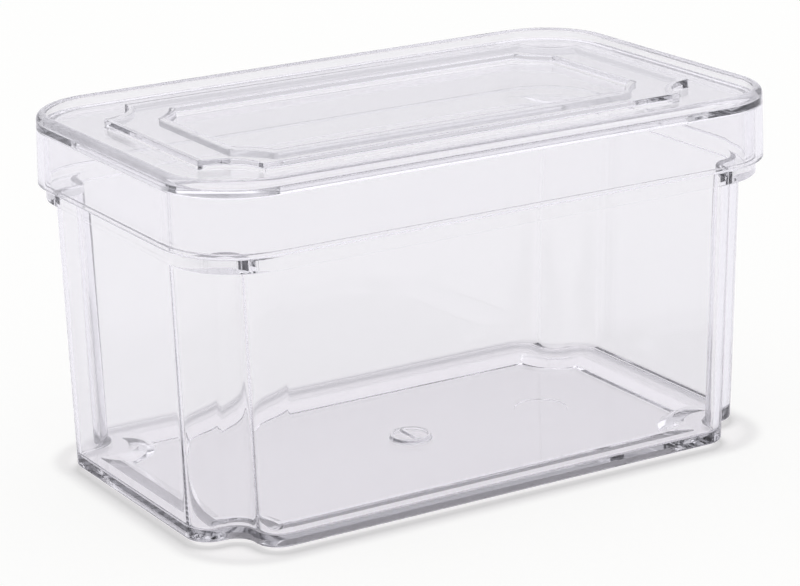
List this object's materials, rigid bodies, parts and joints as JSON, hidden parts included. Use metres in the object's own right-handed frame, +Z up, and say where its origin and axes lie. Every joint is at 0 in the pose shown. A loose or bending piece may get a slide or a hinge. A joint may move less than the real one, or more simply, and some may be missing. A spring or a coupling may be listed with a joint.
{
  "type": "storage box with lift-off lid",
  "caption": "Clear plastic rectangular storage box with stepped-in corners, a shallow sunk foot and a clear lift-off lid with a raised ridge, both scooped at the corners.",
  "frame": {"origin": "centre of the foot's underside, on the surface that the box stands on", "axes": "+X along the long side, +Y from the front long face to the back one, +Z up"},
  "size_m": [0.2, 0.1236, 0.1097],
  "materials": {
    "clear_box": "clear, polished",
    "clear_lid": "clear, polished"
  },
  "bodies": {
    "box": {"storage_box": "clear_box"},
    "cover": {"lid": "clear_lid"}
  },
  "joints": [
    {"name": "lid_lift", "type": "slide", "parent": "box", "child": "cover", "axis": [0, 0, 1], "range_m": [0, 0.12]}
  ]
}
